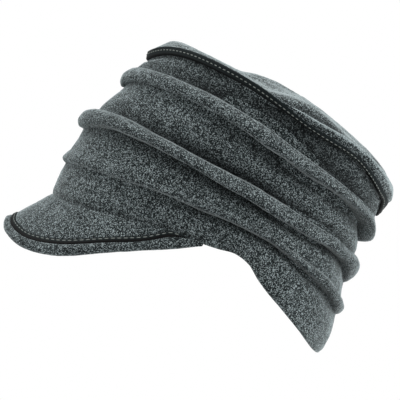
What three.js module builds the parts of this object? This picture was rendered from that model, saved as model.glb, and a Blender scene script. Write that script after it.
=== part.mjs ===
// Fleece cap: a soft crown with three rolled tucks, a piped oval top and a small arched peak.
// Millimetres. X points to the wearer's left, Y to the back and Z up.
// The origin is the middle of the opening that takes the head.
import * as THREE from 'three';

// Driving sizes
const CLOTH = 3;
const SHEET = 2.4;
const GAP = 0.3;
const PEAK_TAPE_WIDTH = 4.2;
const TAPE_CROWN = 0.5;
const TAPE_SHOULDER = 0.3;
const LIP_THICKNESS = 6.4;
const LIP_PROUD = 0.25;
const EDGE_ROUND = 0.5;

// Where the pieces of the peak run out at the temples: how deep the tape is for its reach,
// and the share of the reach that the under cloth and its lip may be thick
const TAPE_TAPER = 0.8;
const UNDER_TAPER = 0.45;

// How the rings are shaped: wider behind the middle, with blunt ends
const EGG = 0.07;
const BLUNTNESS = 0.4;

// How finely the surfaces are cut
const COLUMNS = 64;
const WALL_STEP = 5.7;
const TOP_STEP = 10;
const COLUMN_ANGLE = (2 * Math.PI) / COLUMNS;

// Rings round the crown wall, from the top seam down to the underside of the third tuck.
// Front and back are points of the middle plane, rise lifts the ring over the ears,
// lean moves that lift backwards and half is half of the ring's width.
const CROWN_RINGS = table(
  ['name', 'frontY', 'frontZ', 'backY', 'backZ', 'rise', 'lean', 'half'],
  [
    ['seam', -37.0, 132.3, 124.5, 26.2, 21.5, 0.04, 78.0],
    ['tuck 1 above', -43.8, 126.5, 119.9, 21.5, 11.5, 0.08, 79.3],
    ['tuck 1 crest', -52.5, 122.3, 120.9, 18.1, 13.0, -0.1, 85.3],
    ['tuck 1 nose', -55.0, 117.5, 121.1, 12.5, 14.5, -0.1, 87.0],
    ['tuck 1 lower', -54.5, 114.0, 119.2, 7.3, 17.0, 0.0, 86.0],
    ['tuck 1 under', -52.1, 112.9, 109.0, 5.9, 19.5, 0.1, 81.5],
    ['panel 1', -62.4, 105.2, 108.8, 2.1, 12.0, -0.07, 84.0],
    ['panel 1 low', -67.3, 101.2, 108.1, -0.7, 7.8, -0.4, 84.6],
    ['tuck 2 above', -71.2, 97.2, 107.4, -3.1, 4.0, -0.9, 83.8],
    ['tuck 2 crest', -80.0, 96.0, 109.5, -6.6, 4.8, -0.9, 88.3],
    ['tuck 2 nose', -84.4, 91.0, 110.3, -11.8, 7.6, -0.6, 90.0],
    ['tuck 2 lower', -84.0, 86.2, 106.3, -18.4, 11.2, -0.2, 89.5],
    ['tuck 2 under', -81.5, 84.3, 100.1, -22.9, 14.4, 0.08, 86.0],
    ['panel 2', -85.5, 76.4, 98.0, -29.2, 12.5, 0.32, 88.0],
    ['tuck 3 above', -90.3, 70.2, 98.0, -34.4, 11.8, 0.4, 88.5],
    ['tuck 3 nose', -95.2, 64.6, 99.2, -40.2, 13.0, 0.4, 90.0],
    ['tuck 3 under', -93.8, 60.8, 94.6, -44.8, 15.4, 0.45, 87.0],
  ],
);

// The rings that the smooth inner side of the wall passes behind
const INNER_RINGS = [
  'seam',
  'tuck 1 above',
  'tuck 1 under',
  'panel 1',
  'tuck 2 above',
  'tuck 2 under',
  'panel 2',
  'tuck 3 under',
];

// The lower edge of the wall, and its height over the line from brow to nape by angle.
// The rows before 0 and past 180 degrees mirror their neighbours and keep the edge level there.
const RIM = { frontY: -102.9, frontZ: 38.9, backY: 83.1, backZ: -70.2, half: 84 };
const RIM_LIFT = table(
  ['angle', 'lift'],
  [
    [-30, 1],
    [0, 0],
    [30, 1],
    [42, 3.7],
    [54, 8.7],
    [66, 14.5],
    [78, 20.3],
    [90, 25.3],
    [101, 29.2],
    [109, 27.1],
    [117, 19.8],
    [130, 12.3],
    [145, 5.3],
    [160, -0.3],
    [180, -1.8],
    [200, -0.3],
  ],
);
// Steps from the third tuck to the rim, with how far the cloth swells out at each. It swells
// more at the nape than at the brow, by the given share either way.
const SWELL_SHIFT = 0.6;
const SKIRT_STEPS = table(
  ['share', 'swell'],
  [
    [0.18, 0.7],
    [0.4, 1.4],
    [0.62, 1.7],
    [0.82, 1.5],
    [0.95, 0.8],
  ],
);

// Rings of the top, from the upper edge of the tape to the middle of the dome. dip is each
// ring's share of the dip in the edge, which lies low over the ears and rises behind them.
const TOP_RINGS = table(
  ['name', 'frontY', 'frontZ', 'backY', 'backZ', 'rise', 'lean', 'half', 'dip'],
  [
    ['edge', -35.7, 137.8, 130.0, 32.2, 19.2, -0.03, 79.5, 0.45],
    ['lip', -28.2, 141.4, 133.4, 36.6, 15.2, 0.15, 80.0, 0.6],
    ['crest', -20.5, 144.7, 133.6, 42.6, 8.3, 0.6, 76.0, 0.55],
    ['valley', -13.0, 144.0, 130.2, 51.8, 3.0, 0.55, 68.5, 0.4],
    ['dome 1', -3.5, 139.8, 121.0, 63.8, 2.6, 0.3, 58.5, 0.1],
    ['dome 2', 11.8, 131.6, 109.2, 76.0, 2.6, 0.0, 46.0, 0.0],
    ['dome 3', 25.0, 125.0, 101.5, 83.0, 2.2, 0.0, 36.0, 0.0],
    ['dome 4', 37.5, 122.6, 94.0, 90.0, 1.6, 0.0, 26.0, 0.0],
    ['dome 5', 54.5, 116.6, 84.0, 98.0, 0.6, 0.0, 13.0, 0.0],
  ],
);
const EDGE_DIP = table(
  ['angle', 'lift'],
  [
    [0, 0],
    [45, 0],
    [65, -0.6],
    [80, -1.7],
    [92, -2.9],
    [101, -3.1],
    [108, -1.9],
    [115, 0],
    [124, 0.5],
    [145, 0],
    [180, 0],
  ],
);
const DOME_TOP = new THREE.Vector3(0, 71.1, 106.9);

// Cross-sections of the peak by angle round the rim: the tip of its padded lip, how far the
// lip reaches past the tape, and how far the upper cloth bulges. The first row mirrors the third.
const PEAK_SECTIONS = table(
  ['angle', 'tipX', 'tipY', 'tipZ', 'lip', 'bulge'],
  [
    [-15, -28, -135.2, 14.8, 7.4, 0],
    [0, 0, -135.8, 22.4, 7.0, -0.8],
    [15, 28, -135.2, 14.8, 7.4, 0],
    [30, 50, -123.0, 4.2, 8.2, 1.2],
    [45, 67, -99.2, -1.2, 9.2, 1.8],
    [60, 77, -65.7, 0.2, 8.4, 1.2],
    [70, 80, -42.6, 0.9, 7.8, 0.4],
    [78, 81, -22.3, 1.6, 9.0, 0],
    [84, 82, -9.5, 2.3, 7.0, 0],
    [90, 83, 1.5, 3.0, 3.0, 0],
  ],
);
// How many columns to each side of the middle the pieces of the peak reach
const UPPER_REACH = 14;
const TAPE_REACH = 14;
const UNDER_REACH = 16;

// Named rows from columns and values
function table(columns, rows) {
  return rows.map((row) => Object.fromEntries(columns.map((column, i) => [column, row[i]])));
}

// Smooth curve through table rows: cubic pieces whose slope at a row is the mean of its sides
function smooth(knots, values, at) {
  const last = knots.length - 1;
  const slopes = values.slice(1).map((value, i) => (value - values[i]) / (knots[i + 1] - knots[i]));
  const slopeAt = (i) => {
    if (i === 0) return slopes[0];
    if (i === last) return slopes[last - 1];
    const before = knots[i] - knots[i - 1];
    const after = knots[i + 1] - knots[i];
    return (slopes[i - 1] * after + slopes[i] * before) / (before + after);
  };
  let i = 0;
  while (i < last - 1 && at > knots[i + 1]) i += 1;
  const span = knots[i + 1] - knots[i];
  const t = (at - knots[i]) / span;
  const rest = 1 - t;
  return (
    values[i] * rest * rest * (1 + 2 * t) +
    values[i + 1] * t * t * (3 - 2 * t) +
    span * t * rest * (slopeAt(i) * rest - slopeAt(i + 1) * t)
  );
}

// A row between the rows of a table, all number columns smoothed at once
function rowAt(rows, knots, at) {
  const names = Object.keys(rows[0]).filter((name) => name !== 'name');
  return Object.fromEntries(
    names.map((name) => [name, smooth(knots, rows.map((row) => row[name]), at)]),
  );
}

// Height of a ring over its chord, 0 at front and back and 1 at the sides
function saddle(angle) {
  const side = Math.sin(angle) ** 2;
  return ((1 + BLUNTNESS) * side) / (side + BLUNTNESS);
}

// Lift read from a table by angle, alike on both sides of the middle plane
function liftAt(rows, angle) {
  const turned = Math.abs(Math.atan2(Math.sin(angle), Math.cos(angle)));
  const degrees = THREE.MathUtils.radToDeg(turned);
  return smooth(rows.map((row) => row.angle), rows.map((row) => row.lift), degrees);
}

// The chord of a ring: its middle, its half length, and the ways along it and up from it
function chord(ring) {
  const half = new THREE.Vector3(0, (ring.backY - ring.frontY) / 2, (ring.backZ - ring.frontZ) / 2);
  const along = half.clone().normalize();
  return {
    middle: new THREE.Vector3(0, (ring.backY + ring.frontY) / 2, (ring.backZ + ring.frontZ) / 2),
    reach: half.length(),
    along,
    up: new THREE.Vector3(0, -along.z, along.y),
  };
}

// Point of a ring: angle 0 is the front and a quarter turn the wearer's left.
// inset draws the ring in on every side and raise lifts it off its chord.
function ringPoint(ring, angle, inset = 0, raise = 0) {
  const { middle, reach, along, up } = chord(ring);
  const dip = ring.dip ? ring.dip * liftAt(EDGE_DIP, angle) : 0;
  const lift = ring.rise === undefined
    ? liftAt(RIM_LIFT, angle)
    : ring.rise * saddle(angle) * (1 - ring.lean * Math.cos(angle)) + dip;
  const width = (ring.half - inset) * Math.sin(angle) * (1 - EGG * Math.cos(angle));
  return middle
    .addScaledVector(along, -(reach - inset) * Math.cos(angle))
    .addScaledVector(up, lift + raise)
    .add(new THREE.Vector3(width, 0, 0));
}

function ringLoop(ring, inset = 0, raise = 0) {
  return Array.from({ length: COLUMNS }, (_, i) => ringPoint(ring, i * COLUMN_ANGLE, inset, raise));
}

function mixLoops(first, second, share) {
  return first.map((point, i) => point.clone().lerp(second[i], share));
}

// Knots of a ring table: the mean distance from ring to ring at the front, side and back
function ringKnots(rings) {
  const knots = [0];
  for (let i = 1; i < rings.length; i += 1) {
    const steps = [0, Math.PI / 2, Math.PI].map((angle) =>
      ringPoint(rings[i - 1], angle).distanceTo(ringPoint(rings[i], angle)));
    knots.push(knots[i - 1] + (steps[0] + steps[1] + steps[2]) / 3);
  }
  return knots;
}

// Loops of points down a table of rings, with no step longer than the given one
function loopsDown(rings, longest) {
  const knots = ringKnots(rings);
  const loops = [ringLoop(rings[0])];
  for (let i = 1; i < rings.length; i += 1) {
    const parts = Math.ceil((knots[i] - knots[i - 1]) / longest);
    for (let part = 1; part <= parts; part += 1) {
      const at = knots[i - 1] + ((knots[i] - knots[i - 1]) * part) / parts;
      loops.push(ringLoop(rowAt(rings, knots, at)));
    }
  }
  return loops;
}

// Closed surface through loops of equal length. The ends are joined to each other, or each
// is closed by a fan to its cap point.
function skin(loops, caps = null) {
  const size = loops[0].length;
  const points = loops.flat();
  const faces = [];
  const rows = caps ? loops.length - 1 : loops.length;
  for (let row = 0; row < rows; row += 1) {
    const here = row * size;
    const next = ((row + 1) % loops.length) * size;
    for (let i = 0; i < size; i += 1) {
      const j = (i + 1) % size;
      faces.push(here + i, next + i, next + j, here + i, next + j, here + j);
    }
  }
  if (caps) {
    const lastRow = (loops.length - 1) * size;
    points.push(...caps);
    for (let i = 0; i < size; i += 1) {
      const j = (i + 1) % size;
      faces.push(points.length - 2, i, j, points.length - 1, lastRow + j, lastRow + i);
    }
  }
  return facingOut(points, faces);
}

// Geometry from points and triangles, turned round if the triangles face inwards
function facingOut(points, faces) {
  let volume = 0;
  for (let i = 0; i < faces.length; i += 3) {
    const [a, b, c] = [points[faces[i]], points[faces[i + 1]], points[faces[i + 2]]];
    volume += a.dot(b.clone().cross(c));
  }
  const index = volume > 0 ? faces : faces.slice().reverse();
  const geometry = new THREE.BufferGeometry();
  geometry.setAttribute('position', new THREE.Float32BufferAttribute(
    points.flatMap((point) => point.toArray()), 3));
  geometry.setIndex(index);
  geometry.computeVertexNormals();
  return geometry;
}

function centroid(loop) {
  return loop.reduce((sum, point) => sum.add(point), new THREE.Vector3()).divideScalar(loop.length);
}

// Crown wall with its tucks, and the skirt that runs on to the brow, the ears and the nape
function sideBand() {
  const outer = loopsDown(CROWN_RINGS, WALL_STEP);
  const lastTuck = CROWN_RINGS.at(-1);
  const tuckLoop = ringLoop(lastTuck);
  const rimLoop = ringLoop(RIM, 0, EDGE_ROUND);
  SKIRT_STEPS.forEach(({ share, swell }) => {
    const loop = mixLoops(tuckLoop, rimLoop, share);
    const drawnIn = mixLoops(ringLoop(lastTuck, 1), ringLoop(RIM, 1, EDGE_ROUND), share);
    outer.push(loop.map((point, i) => {
      const backward = (1 - SWELL_SHIFT * Math.cos(i * COLUMN_ANGLE)) / (1 + SWELL_SHIFT);
      return point.lerp(drawnIn[i], -swell * backward);
    }));
  });
  outer.push(rimLoop, ringLoop(RIM, CLOTH / 2), ringLoop(RIM, CLOTH, EDGE_ROUND));
  const inner = INNER_RINGS.map((name) => {
    const ring = CROWN_RINGS.find((row) => row.name === name);
    return ringLoop(ring, CLOTH);
  });
  inner.push(mixLoops(inner.at(-1), ringLoop(RIM, CLOTH, EDGE_ROUND), 0.5));
  return skin([...outer, ...inner.reverse()]);
}

// Flat tape that binds the seam between the wall and the top
function topPiping() {
  const low = CROWN_RINGS[0];
  const high = TOP_RINGS[0];
  const between = (share, inset) => mixLoops(ringLoop(low, inset), ringLoop(high, inset), share);
  const clear = GAP / chord(low).middle.distanceTo(chord(high).middle);
  return skin([
    between(clear, 0),
    between(TAPE_SHOULDER, -TAPE_CROWN),
    between(1 - TAPE_SHOULDER, -TAPE_CROWN),
    between(1 - clear, 0),
    between(1 - clear, SHEET),
    between(clear, SHEET),
  ]);
}

// Soft oval top: a dome with a rounded lip that stands over the tape. Its inner side is the
// outer side drawn in level at the edge and the lip, and square to the cloth further in.
function topPanel() {
  const outer = loopsDown(TOP_RINGS, TOP_STEP);
  const size = outer[0].length;
  const { up } = chord(TOP_RINGS[0]);
  const inner = outer.map((loop, row) => loop.map((point, i) => {
    if (row === 0) return ringPoint(TOP_RINGS[0], i * COLUMN_ANGLE, SHEET);
    const inward = outer[Math.min(row + 1, outer.length - 1)][i].clone().sub(outer[row - 1][i]);
    const round = loop[(i + 1) % size].clone().sub(loop[(i + size - 1) % size]);
    const outwards = round.cross(row === 1 ? up : inward).normalize();
    return point.clone().addScaledVector(outwards, -SHEET);
  }));
  const lowerTop = DOME_TOP.clone().addScaledVector(chord(TOP_RINGS.at(-1)).up, -SHEET);
  return skin([...outer.reverse(), ...inner], [DOME_TOP, lowerTop]);
}

// Frame of the peak at a column: its root under the rim, its way out to the tip, and its length
function peakFrame(column) {
  const angle = column * COLUMN_ANGLE;
  const knots = PEAK_SECTIONS.map((row) => row.angle);
  const degrees = Math.min(Math.abs(THREE.MathUtils.radToDeg(angle)), knots.at(-1));
  const row = rowAt(PEAK_SECTIONS, knots, degrees);
  const tip = new THREE.Vector3(Math.sign(angle) * row.tipX, row.tipY, row.tipZ);
  const root = ringPoint(RIM, angle, 0, -GAP);
  const innerRoot = ringPoint(RIM, angle, CLOTH, -GAP);
  const out = tip.clone().sub(root);
  const length = out.length();
  return { row, tip, root, innerRoot, out: out.divideScalar(length), length };
}

// A cross-section of the peak. The cloth lies flat under the rim, bends at the root and runs
// out to the tip. Depths are measured down from its upper face.
function peakSection(column) {
  const { row, root, innerRoot, out, length } = peakFrame(column);
  const before = peakFrame(column - 0.5);
  const after = peakFrame(column + 0.5);
  const round = after.root.add(after.tip).sub(before.root).sub(before.tip);
  const up = out.clone().cross(round).normalize();
  const rimUp = chord(RIM).up;
  const turn = up.dot(rimUp);
  const tapeEnd = Math.max(length - row.lip, 0);
  const behind = (depth) => innerRoot.clone().addScaledVector(rimUp, -depth);
  const bend = (depth) => root.clone().addScaledVector(up.clone().add(rimUp), -depth / (1 + turn));
  return {
    length,
    tapeEnd,
    tapeStart: Math.max(tapeEnd - PEAK_TAPE_WIDTH, 0),
    tapeDepth: Math.min(SHEET, tapeEnd * TAPE_TAPER),
    // Distance along the peak that the bend at the root takes up at a depth
    bendReach: (depth) => depth * Math.sqrt((1 - turn) / (1 + turn)),
    // Point under the rim, with share 0 at its inner edge and 1 at the bend
    fold: (share, depth) => behind(depth).lerp(bend(depth), share),
    at(distance, depth = 0) {
      const share = distance / length;
      const swell = row.bulge * 4 * share * (1 - share);
      return root.clone().addScaledVector(out, distance).addScaledVector(up, swell - depth);
    },
  };
}

function peakSections(reach) {
  return Array.from({ length: 2 * reach + 1 }, (_, i) => peakSection(i - reach));
}

// Upper cloth of the peak, from under the rim to the tape. Where the tape reaches the rim,
// the cloth stays under the rim behind it.
function peakUpper() {
  const shares = [0, 0.25, 0.5, 0.75, 1];
  const loops = peakSections(UPPER_REACH).map((section) => {
    const depth = section.tapeDepth;
    const end = section.tapeStart - GAP;
    const start = section.bendReach(depth);
    const hidden = (side) => shares.map((share) => section.fold(0.5 + 0.4 * share, side));
    const upper = end > 0 ? shares.map((share) => section.at(end * share)) : hidden(0);
    const lower = end > 0
      ? shares.map((share) => section.at(start + (end - start) * share, depth))
      : hidden(depth);
    return [section.fold(0, 0), ...upper, ...lower.reverse(), section.fold(0, depth)];
  });
  return skin(loops, [centroid(loops[0]), centroid(loops.at(-1))]);
}

// Flat tape along the edge of the peak
function peakPiping() {
  const loops = peakSections(TAPE_REACH).map((section) => {
    const { tapeStart: start, tapeEnd: end, tapeDepth: depth } = section;
    return [
      section.at(start),
      section.at(Math.max(start, section.bendReach(depth)), depth),
      section.at(end, depth),
      section.at(end),
      section.at(end - (end - start) * TAPE_SHOULDER, -TAPE_CROWN),
      section.at(start + (end - start) * TAPE_SHOULDER, -TAPE_CROWN),
    ];
  });
  return skin(loops, [centroid(loops[0]), centroid(loops.at(-1))]);
}

// Under cloth of the peak, which swells into a padded lip past the tape. Where the tape ends
// it comes up to the rim.
function peakUnder() {
  const nose = [90, 60, 30, 0, -30, -60, -90].map((degrees) => THREE.MathUtils.degToRad(degrees));
  const loops = peakSections(UNDER_REACH).map((section, i) => {
    const covered = Math.abs(i - UNDER_REACH) <= TAPE_REACH;
    const top = covered ? section.tapeDepth + GAP : 0;
    const bottom = top + Math.min(SHEET, section.length * UNDER_TAPER);
    const edge = section.tapeEnd + GAP;
    const radius = Math.min(LIP_THICKNESS / 2, (section.length - edge) * UNDER_TAPER);
    const proud = radius * LIP_PROUD;
    const middle = section.length - radius;
    const topStart = section.bendReach(top);
    const bottomStart = section.bendReach(bottom);
    return [
      section.fold(0, top),
      section.fold(1, top),
      section.at((topStart + edge) / 2, top),
      section.at(covered ? edge : (topStart + edge * 3) / 4, top),
      section.at(edge),
      ...nose.map((turn) =>
        section.at(middle + radius * Math.cos(turn), radius - proud - radius * Math.sin(turn))),
      section.at(bottomStart + ((middle - bottomStart) * 2) / 3, bottom),
      section.at(bottomStart + (middle - bottomStart) / 3, bottom),
      section.fold(1, bottom),
      section.fold(0, bottom),
    ];
  });
  return skin(loops, [centroid(loops[0]), centroid(loops.at(-1))]);
}

const fleece = () => new THREE.MeshStandardMaterial({ color: 0x4b5455, roughness: 0.95, metalness: 0 });
const tape = () => new THREE.MeshStandardMaterial({ color: 0x23221f, roughness: 0.45, metalness: 0 });

const cap = new THREE.Group();
[
  ['side_band', sideBand, fleece],
  ['top_panel', topPanel, fleece],
  ['top_piping', topPiping, tape],
  ['peak_upper', peakUpper, fleece],
  ['peak_piping', peakPiping, tape],
  ['peak_under', peakUnder, fleece],
].forEach(([name, shape, material]) => {
  const mesh = new THREE.Mesh(shape(), material());
  mesh.name = name;
  cap.add(mesh);
});

export default cap;
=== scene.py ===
"""Fleece cap with a tucked crown, a taped oval top and a small padded peak: its looks.

Every shape is a grid worked out with numpy from the rings and cross-sections of the cap.
Sizes are millimetres until a mesh is made, and the mesh is in metres. X points to the
wearer's left, Y to the back and Z up, and the origin is the middle of the head opening.
"""

from __future__ import annotations

import logging
import math
from dataclasses import dataclass
from enum import Enum
from typing import Any, Callable, Mapping, Sequence

import bpy
import numpy as np
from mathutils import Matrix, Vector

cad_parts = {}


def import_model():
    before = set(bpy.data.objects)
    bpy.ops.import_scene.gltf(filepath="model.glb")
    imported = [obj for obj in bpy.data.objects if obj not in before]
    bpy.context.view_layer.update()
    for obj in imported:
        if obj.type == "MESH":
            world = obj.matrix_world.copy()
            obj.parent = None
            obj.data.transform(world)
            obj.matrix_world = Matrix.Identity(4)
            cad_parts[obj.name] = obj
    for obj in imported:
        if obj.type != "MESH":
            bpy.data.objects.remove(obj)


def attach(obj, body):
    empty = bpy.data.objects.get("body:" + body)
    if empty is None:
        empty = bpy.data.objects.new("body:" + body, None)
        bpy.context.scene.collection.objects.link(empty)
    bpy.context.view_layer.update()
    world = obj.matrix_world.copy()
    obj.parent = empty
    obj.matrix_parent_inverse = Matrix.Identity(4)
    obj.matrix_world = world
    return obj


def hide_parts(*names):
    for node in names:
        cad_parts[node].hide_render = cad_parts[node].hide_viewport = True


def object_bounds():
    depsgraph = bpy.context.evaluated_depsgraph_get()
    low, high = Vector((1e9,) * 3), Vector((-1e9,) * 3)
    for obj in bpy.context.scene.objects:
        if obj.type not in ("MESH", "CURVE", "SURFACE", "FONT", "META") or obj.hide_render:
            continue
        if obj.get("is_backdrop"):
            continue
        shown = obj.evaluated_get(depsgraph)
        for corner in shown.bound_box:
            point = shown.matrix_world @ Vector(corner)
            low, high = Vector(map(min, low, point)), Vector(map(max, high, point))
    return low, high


LOG = logging.getLogger("fleece_cap")
METRE = 0.001
BODY = "root"
# Mesh attribute with painted shade, above 0, and painted highlights, below 0.
PAINTED_SHADING = "painted_shading"

CLOTH = 3.0
SHEET = 2.4
GAP = 0.3
SEWN = 0.45
EGG = 0.07
BLUNTNESS = 0.4
TURN = 2 * math.pi
EDGE_DIP = (
    (0, 0), (45, 0), (65, -0.6), (80, -1.7), (92, -2.9), (101, -3.1), (108, -1.9), (115, 0),
    (124, 0.5), (145, 0), (180, 0),
)
SEAM_LINES = (
    (0, 0, 0), (40, 0, 0), (60, -0.3, 0), (72, -0.2, 0), (80, -0.6, -0.4), (85, -1.0, -1.0),
    (90, -1.4, -1.8), (97, -1.8, -3.2), (103, -1.9, -3.8), (110, -1.6, -3.1),
    (115, -0.8, -2.5), (122, 0.8, -1.6), (130, 1.6, -1.0), (140, 0.8, -1.9), (148, 0.3, -2.3),
    (156, 0.8, -2.1), (165, 2.8, -0.8), (172, 0.6, 0), (180, -2.6, 0),
)
# Height, size and seed of each kind of lump in the fleece.
RELIEF = ((0.16, 2.6, 11), (0.2, 7.0, 12), (0.35, 19.0, 13), (0.45, 41.0, 14))


class Slot(Enum):
    """The record's material slots."""

    CROWN = "crown_fleece"
    PEAK = "peak_fleece"
    TAPE = "tape"


# Smooth curves and noise


def smooth(knots: np.ndarray, values: np.ndarray, at: np.ndarray) -> np.ndarray:
    """Curve through table rows, made of cubic pieces.

    The slope at a row is the mean of the slopes at its two sides, each weighted by the
    other side's length, so the curve bends like a springy strip held at the rows.

    Args:
        knots: Places of the rows, rising.
        values: One row of values for each knot.
        at: Places to read the curve at.

    Returns:
        One row of values for each place.
    """
    values = np.asarray(values, float)
    spans = np.diff(knots)
    rises = np.diff(values, axis=0) / spans.reshape(-1, *[1] * (values.ndim - 1))
    before, after = spans[:-1], spans[1:]
    weight = (after / (before + after)).reshape(-1, *[1] * (values.ndim - 1))
    inner = rises[:-1] * weight + rises[1:] * (1 - weight)
    slopes = np.concatenate([rises[:1], inner, rises[-1:]])
    piece = np.clip(np.searchsorted(knots, at, side="right") - 1, 0, len(spans) - 1)
    shape = (-1, *[1] * (values.ndim - 1))
    span = spans[piece].reshape(shape)
    t = ((at - knots[piece]) / spans[piece]).reshape(shape)
    rest = 1 - t
    return (
        values[piece] * rest**2 * (1 + 2 * t)
        + values[piece + 1] * t**2 * (3 - 2 * t)
        + span * t * rest * (slopes[piece] * rest - slopes[piece + 1] * t)
    )


def creased(
    knots: np.ndarray, values: np.ndarray, at: np.ndarray, creases: Sequence[int]
) -> np.ndarray:
    """Curve through table rows that is smooth between creases and may turn sharply at them.

    Args:
        knots: Places of the rows, rising.
        values: One row of values for each knot.
        at: Places to read the curve at.
        creases: Numbers of the rows where it turns.

    Returns:
        One row of values for each place.
    """
    result = np.zeros((len(at), values.shape[1]))
    ends = [0, *creases, len(knots) - 1]
    for first, last in zip(ends[:-1], ends[1:]):
        inside = (at >= knots[first]) & (at <= knots[last])
        part = slice(first, last + 1)
        result[inside] = smooth(knots[part], values[part], at[inside])
    return result


def read_table(rows: Sequence[Sequence[float]], at: np.ndarray) -> np.ndarray:
    """Columns of a table after its first, read by a smooth curve at places in the first."""
    table = np.array(rows, float)
    return smooth(table[:, 0], table[:, 1:], at).T


def ease(low: float, high: float, at: np.ndarray) -> np.ndarray:
    """Smooth step: 0 below low, 1 above high and three t squared less two t cubed between."""
    t = np.clip((at - low) / (high - low), 0, 1)
    return t * t * (3 - 2 * t)


def bell(middle: float, width: float, at: np.ndarray) -> np.ndarray:
    """Bell curve of height 1: e to the minus square of the distance in widths."""
    return np.exp(-(((at - middle) / width) ** 2))


def leaning_bell(middle: float, before: float, after: float, at: np.ndarray) -> np.ndarray:
    """Bell curve of height 1 with one width before its middle and another after it."""
    return bell(0.0, 1.0, (at - middle) / np.where(at < middle, before, after))


def lumps(points: np.ndarray, size: float, seed: int) -> np.ndarray:
    """Smooth random lumps from -1 to 1.

    Space is cut into cubes of the given size, each corner gets a number by mixing its whole
    coordinates, and the eight corners of a point's cube are blended by smooth steps.

    Args:
        points: Points, with three coordinates in the last axis.
        size: Side of a cube, in the points' own unit.
        seed: Number that picks one pattern.

    Returns:
        A number for each point.
    """
    scaled = points / size
    low = np.floor(scaled)
    share = scaled - low
    share = share * share * (3 - 2 * share)
    corner = low.astype(np.int64)
    total = np.zeros(points.shape[:-1])
    for step in np.ndindex(2, 2, 2):
        x, y, z = (corner[..., axis] + step[axis] for axis in range(3))
        mixed = (x * 73856093) ^ (y * 19349663) ^ (z * 83492791) ^ (seed * 2654435761)
        mixed = ((mixed & 0xFFFFFFFF) * 2246822519) & 0xFFFFFFFF
        mixed = ((mixed ^ (mixed >> 15)) * 3266489917) & 0xFFFFFFFF
        number = ((mixed ^ (mixed >> 13)) & 0xFFFF) / 32767.5 - 1
        weights = [share[..., a] if step[a] else 1 - share[..., a] for a in range(3)]
        total += number * weights[0] * weights[1] * weights[2]
    return total


# Rings round the cap


def even_angles(columns: int) -> np.ndarray:
    """Even angles round a full turn, one for each column."""
    return np.arange(columns) * TURN / columns


def saddle(angle: np.ndarray) -> np.ndarray:
    """Height of a ring over its chord, 0 at front and back and 1 at the sides.

    It is (1 + b) s / (s + b), where s is the squared sine of the angle and b the bluntness.
    """
    side = np.sin(angle) ** 2
    return (1 + BLUNTNESS) * side / (side + BLUNTNESS)


@dataclass(frozen=True)
class Rings:
    """Tilted rings round the cap, a row for each.

    Front and back are points of the middle plane, rise lifts the ring over the ears, lean
    moves that lift backwards and half is half of the ring's width.
    """

    rows: tuple[tuple[str, float, float, float, float, float, float, float], ...]

    def numbers(self) -> np.ndarray:
        """The number columns of all rows."""
        return np.array([row[1:] for row in self.rows], float)

    def index(self, name: str) -> int:
        """Place of a named row in the table."""
        return [row[0] for row in self.rows].index(name)

    def knots(self) -> np.ndarray:
        """Mean distance down the table, measured at the front, the side and the back."""
        angles = np.array([0, math.pi / 2, math.pi])
        points = ring_points(self.numbers(), angles)
        steps = np.linalg.norm(np.diff(points, axis=0), axis=2).mean(axis=1)
        return np.concatenate([[0], np.cumsum(steps)])


def ring_points(
    rows: np.ndarray,
    angle: np.ndarray,
    inset: float = 0.0,
    raised: float | np.ndarray = 0.0,
) -> np.ndarray:
    """Points of tilted rings.

    A ring runs round its chord from front to back: minus cosine of the angle along the
    chord, sine of the angle across, narrower in front by the egg share, and lifted off the
    chord by rise times saddle times one minus lean times cosine.

    Args:
        rows: Ring numbers: front Y, front Z, back Y, back Z, rise, lean and half width.
        angle: Angles round the ring, 0 at the front and a quarter turn at the left.
        inset: How far the ring is drawn in on every side.
        raised: How far it is lifted off its chord.

    Returns:
        Points by row and angle.
    """
    front_y, front_z, back_y, back_z, rise, lean, half = (c[:, None] for c in rows.T)
    reach = np.hypot(back_y - front_y, back_z - front_z) / 2
    along_y, along_z = (back_y - front_y) / 2 / reach, (back_z - front_z) / 2 / reach
    cosine, sine = np.cos(angle)[None, :], np.sin(angle)[None, :]
    run = -(reach - inset) * cosine
    lift = rise * saddle(angle)[None, :] * (1 - lean * cosine) + raised
    across = (half - inset) * sine * (1 - EGG * cosine)
    y = (front_y + back_y) / 2 + along_y * run - along_z * lift
    z = (front_z + back_z) / 2 + along_z * run + along_y * lift
    return np.stack([across, y, z], axis=2)


def chord_up(row: np.ndarray) -> np.ndarray:
    """Direction up from a ring's chord, in the middle plane."""
    front_y, front_z, back_y, back_z = row[:4]
    reach = math.hypot(back_y - front_y, back_z - front_z)
    return np.array([0, -(back_z - front_z) / reach, (back_y - front_y) / reach])


def turned(angle: np.ndarray) -> np.ndarray:
    """Angle from the front in degrees, from 0 to 180 and alike on both sides."""
    return np.degrees(np.abs(np.arctan2(np.sin(angle), np.cos(angle))))


def edge_dip(angle: np.ndarray) -> np.ndarray:
    """Lift of the top's lip, which lies low over the ears and rises behind them."""
    return read_table(EDGE_DIP, turned(angle))[0]


def seam_lines(angle: np.ndarray) -> tuple[np.ndarray, np.ndarray]:
    """Lift of the tape's lower and upper line off their rings, from the table of lines."""
    low, high = read_table(SEAM_LINES, turned(angle))
    return low, high


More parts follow.
